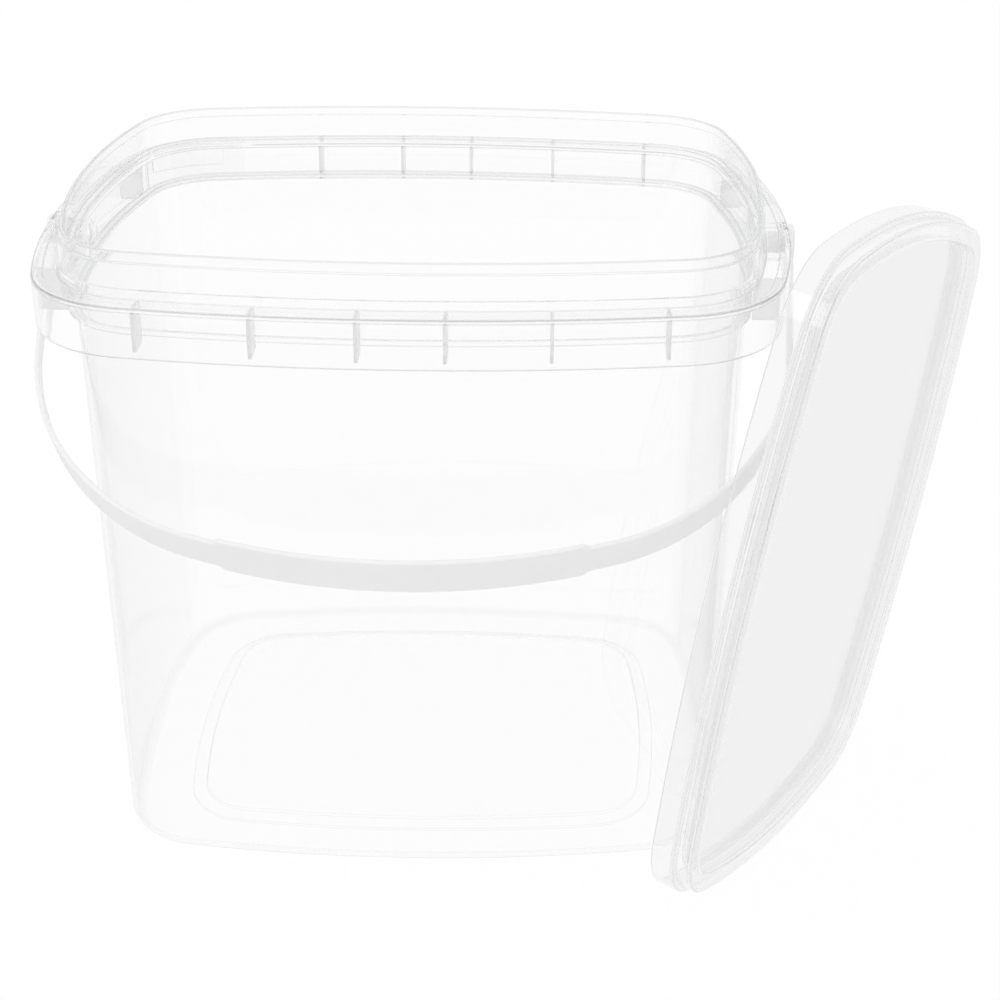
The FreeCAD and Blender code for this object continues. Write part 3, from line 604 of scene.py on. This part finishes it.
def stand_lid(lid):
    """Turns the lid onto its short side, open side to the bucket, and sets it down on the floor."""
    pose = (
        Matrix.Rotation(-LID_TURN, 4, "Z")
        @ Matrix.Rotation(LID_TILT, 4, "Y")
        @ Matrix.Rotation(-LID_ROLL, 4, "X")
        @ Matrix.Rotation(math.pi, 4, "Z")
        @ Matrix.Rotation(-math.pi / 2, 4, "Y")
    )
    lid.data.transform(pose)
    lowest = min(v.co.z for v in lid.data.vertices)
    lid.data.transform(Matrix.Translation((LID_STAND[0] * MM, LID_STAND[1] * MM, -lowest)))


# ---------------------------------------------------------------- materials

PLASTIC_IOR = 1.49
GRAZING_POWER = 4.0  # how closely the painted shade keeps to walls seen edge on
GLOW_SHARE = 0.95  # how much of the floor is plain white where it is seen


def linear(hex_colour):
    """A colour written as sRGB hex, as linear red, green, blue and full alpha."""
    parts = [int(hex_colour[i : i + 2], 16) / 255 for i in (0, 2, 4)]
    return [c / 12.92 if c <= 0.04045 else ((c + 0.055) / 1.055) ** 2.4 for c in parts] + [1.0]


def add_node(tree, kind, settings=None, **links):
    """Adds a node, sets its properties and sockets, and links sockets given as output sockets."""
    node = tree.nodes.new(kind)
    for name, value in (settings or {}).items():
        if name in node.inputs:
            node.inputs[name].default_value = value
        else:
            setattr(node, name, value)
    for name, source in links.items():
        tree.links.new(source, node.inputs[name.replace("_", " ")])
    return node


def new_material(name):
    """An empty node material and its tree."""
    material = bpy.data.materials.new(name)
    material.use_nodes = True
    material.node_tree.nodes.clear()
    return material, material.node_tree


def moulded_clear_polypropylene(name, tint, painted_shade_colour, haze, density, grazing_shade=0.0):
    """Clarified polypropylene from a polished mould: glassy, with a little haze that varies where the
    melt flowed, and a faint orange peel. Its grey where one looks along a wall, and along rounded edges,
    is painted shade, standing in for the darker look that reflection and refraction give there."""
    material, tree = new_material(name)
    place = add_node(tree, "ShaderNodeTexCoord").outputs["Object"]
    flow = add_node(tree, "ShaderNodeTexNoise", {"Scale": 1000 / 35.0, "Detail": 3.0}, Vector=place)
    peel = add_node(tree, "ShaderNodeTexNoise", {"Scale": 1000 / 4.0, "Detail": 2.0}, Vector=place)
    rough = add_node(
        tree,
        "ShaderNodeMapRange",
        {"From Min": 0.3, "From Max": 0.7, "To Min": haze * 0.85, "To Max": haze * 1.15},
        Value=flow.outputs["Fac"],
    )
    bump = add_node(
        tree, "ShaderNodeBump", {"Strength": 0.15, "Distance": 0.00002}, Height=peel.outputs["Fac"]
    )
    # painted shade: the grey painted along rounded edges and over the lid's panel, kept with the mesh
    edge = add_node(tree, "ShaderNodeAttribute", {"attribute_name": "painted_edge_shade"})
    # painted shade: more grey where a wall is seen edge on
    along = add_node(tree, "ShaderNodeLayerWeight", {"Blend": 0.5})
    graze = add_node(tree, "ShaderNodeMath", {"operation": "POWER"})
    tree.links.new(along.outputs["Facing"], graze.inputs[0])
    graze.inputs[1].default_value = GRAZING_POWER
    # the sum of both painted shades: how far the glass goes from its own tint to the grey
    thick = add_node(tree, "ShaderNodeMath", {"operation": "MULTIPLY_ADD"})
    tree.links.new(graze.outputs["Value"], thick.inputs[0])
    thick.inputs[1].default_value = grazing_shade
    tree.links.new(edge.outputs["Fac"], thick.inputs[2])
    # painted shade: the glass's colour mixed toward the grey
    painted_shade_mix = add_node(tree, "ShaderNodeMix", {"data_type": "RGBA"})
    painted_shade_mix.inputs[6].default_value = linear(tint)
    painted_shade_mix.inputs[7].default_value = linear(painted_shade_colour)
    tree.links.new(thick.outputs["Value"], painted_shade_mix.inputs[0])
    surface = add_node(
        tree,
        "ShaderNodeBsdfPrincipled",
        {"Transmission Weight": 1.0, "IOR": PLASTIC_IOR},
        Roughness=rough.outputs["Result"],
        Normal=bump.outputs["Normal"],
    )
    tree.links.new(painted_shade_mix.outputs[2], surface.inputs["Base Color"])
    inside = add_node(
        tree, "ShaderNodeVolumeAbsorption", {"Color": linear("dfe2e2"), "Density": density}
    )
    add_node(
        tree,
        "ShaderNodeOutputMaterial",
        Surface=surface.outputs["BSDF"],
        Volume=inside.outputs["Volume"],
    )
    return material


def moulded_milky_polypropylene():
    """Natural polypropylene without clarifier: milky white, even, with a soft satin shine."""
    material, tree = new_material("natural_milky_polypropylene")
    place = add_node(tree, "ShaderNodeTexCoord").outputs["Object"]
    flow = add_node(tree, "ShaderNodeTexNoise", {"Scale": 1000 / 25.0, "Detail": 4.0}, Vector=place)
    tint = add_node(tree, "ShaderNodeMix", {"data_type": "RGBA"})
    tree.links.new(flow.outputs["Fac"], tint.inputs[0])
    tint.inputs[6].default_value = linear("e0e0e0")
    tint.inputs[7].default_value = linear("e4e4e4")
    peel = add_node(tree, "ShaderNodeTexNoise", {"Scale": 1000 / 1.5, "Detail": 2.0}, Vector=place)
    bump = add_node(
        tree, "ShaderNodeBump", {"Strength": 0.2, "Distance": 0.00003}, Height=peel.outputs["Fac"]
    )
    surface = add_node(
        tree,
        "ShaderNodeBsdfPrincipled",
        {
            "Roughness": 0.38,
            "IOR": PLASTIC_IOR,
            "Subsurface Weight": 0.6,
            "Subsurface Radius": (1.0, 1.0, 1.0),
            "Subsurface Scale": 0.004,
        },
        Normal=bump.outputs["Normal"],
    )
    tree.links.new(tint.outputs[2], surface.inputs["Base Color"])
    add_node(tree, "ShaderNodeOutputMaterial", Surface=surface.outputs["BSDF"])
    return material


# ---------------------------------------------------------------- stage, light and camera


def seen_directly(tree):
    """1 for rays from the camera, and for those that a shiny or clear surface passes on; 0 for the rest."""
    path = add_node(tree, "ShaderNodeLightPath")
    found = path.outputs["Is Camera Ray"]
    for name in ("Is Glossy Ray", "Is Transmission Ray"):
        both = add_node(tree, "ShaderNodeMath", {"operation": "MAXIMUM"})
        tree.links.new(found, both.inputs[0])
        tree.links.new(path.outputs[name], both.inputs[1])
        found = both.outputs["Value"]
    return found


def make_world(light_level=1.0):
    """White wherever it is seen, and a plain soft light on everything."""
    world = bpy.data.worlds.new("studio")
    world.use_nodes = True
    tree = world.node_tree
    tree.nodes.clear()
    level = add_node(tree, "ShaderNodeMapRange", {"To Min": light_level, "To Max": 1.0})
    tree.links.new(seen_directly(tree), level.inputs["Value"])
    light = add_node(tree, "ShaderNodeBackground", {"Color": linear("ffffff")})
    tree.links.new(level.outputs["Result"], light.inputs["Strength"])
    add_node(tree, "ShaderNodeOutputWorld", Surface=light.outputs["Background"])
    bpy.context.scene.world = world


def make_floor():
    """A wide white sheet: seen white, with a little of the object's shadow left on it."""
    side = 3000.0
    points = np.array([(-side, -side, 0), (side, -side, 0), (side, side, 0), (-side, side, 0)], float)
    floor = make_object("floor", points, [(0, 1, 2, 3)])
    material, tree = new_material("white_studio_floor")
    sheet = add_node(tree, "ShaderNodeBsdfDiffuse", {"Color": linear("f4f4f4")})
    glow = add_node(tree, "ShaderNodeEmission", {"Color": linear("ffffff"), "Strength": 1.0})
    share = add_node(tree, "ShaderNodeMath", {"operation": "MULTIPLY"})
    tree.links.new(seen_directly(tree), share.inputs[0])
    share.inputs[1].default_value = GLOW_SHARE
    mix = add_node(tree, "ShaderNodeMixShader")
    tree.links.new(share.outputs["Value"], mix.inputs[0])
    tree.links.new(sheet.outputs["BSDF"], mix.inputs[1])
    tree.links.new(glow.outputs["Emission"], mix.inputs[2])
    add_node(tree, "ShaderNodeOutputMaterial", Surface=mix.outputs["Shader"])
    floor.data.materials.append(material)


def make_lamp(name, place, size, power):
    """A soft square lamp that faces the bucket."""
    lamp = bpy.data.lights.new(name, "AREA")
    lamp.shape = "SQUARE"
    lamp.size = size
    lamp.energy = power
    obj = bpy.data.objects.new(name, lamp)
    obj.location = place
    obj.rotation_euler = (Vector((0, 0, 0.09)) - Vector(place)).to_track_quat("-Z", "Y").to_euler()
    bpy.context.scene.collection.objects.link(obj)


def make_camera():
    """The camera looks down at the front from a little to the right, with a rising lens shift."""
    pitch, yaw, roll = (math.radians(a) for a in (23.307, 0.175, 0.896))
    ahead = Vector((math.sin(yaw) * math.cos(pitch), math.cos(yaw) * math.cos(pitch), -math.sin(pitch)))
    level = Vector((math.cos(yaw), -math.sin(yaw), 0))
    down = ahead.cross(level)
    right = math.cos(roll) * level - math.sin(roll) * down
    under = math.sin(roll) * level + math.cos(roll) * down
    data = bpy.data.cameras.new("camera")
    data.sensor_width = 36.0
    data.lens = 64.48
    data.shift_x, data.shift_y = -0.05, -0.15
    camera = bpy.data.objects.new("camera", data)
    pose = Matrix((right, -under, -ahead)).transposed().to_4x4()
    pose.translation = Vector((34.38, -465.63, 327.8)) * MM
    camera.matrix_world = pose
    bpy.context.scene.collection.objects.link(camera)
    bpy.context.scene.camera = camera


def dress(obj, material, body):
    """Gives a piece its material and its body."""
    obj.data.materials.clear()
    obj.data.materials.append(material)
    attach(obj, body)
    return obj


def main():
    # The second colour of each clear material is the grey of its painted shade, and the last number is how
    # much grey is painted where a wall is seen edge on.
    clear = moulded_clear_polypropylene("clear_polypropylene", "fefefe", "b0b0b0", 0.03, 3.0, 0.7)
    hazy = moulded_clear_polypropylene("gusset_polypropylene", "eaeaea", "eaeaea", 0.35, 1.0)
    tab_clear = moulded_clear_polypropylene("tab_polypropylene", "fafafa", "a0a0a0", 0.12, 3.0)
    lid_clear = moulded_clear_polypropylene("lid_polypropylene", "f8f8f8", "d0d0d0", 0.06, 0.0, 0.6)
    milky = moulded_milky_polypropylene()
    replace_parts(dress(make_bucket(), clear, "bucket"), "bucket")
    dress(make_gussets(), hazy, "bucket")
    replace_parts(dress(make_tear_tab(), tab_clear, "tear_tab"), "tear_tab")
    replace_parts(dress(make_handle(), milky, "handle"), "handle")
    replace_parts(dress(make_lid(), lid_clear, "lid"), "lid")
    make_world()
    make_floor()
    make_lamp("key", (-0.9, -1.1, 1.6), 1.2, 4.0)
    make_camera()
    scene = bpy.context.scene
    scene.view_settings.view_transform = "Standard"
    for limit in ("max_bounces", "transmission_bounces", "glossy_bounces"):
        setattr(scene.cycles, limit, PATH_LENGTH)
    scene.cycles.blur_glossy = 0.0  # softened bounces would darken what lies behind clear walls


main()
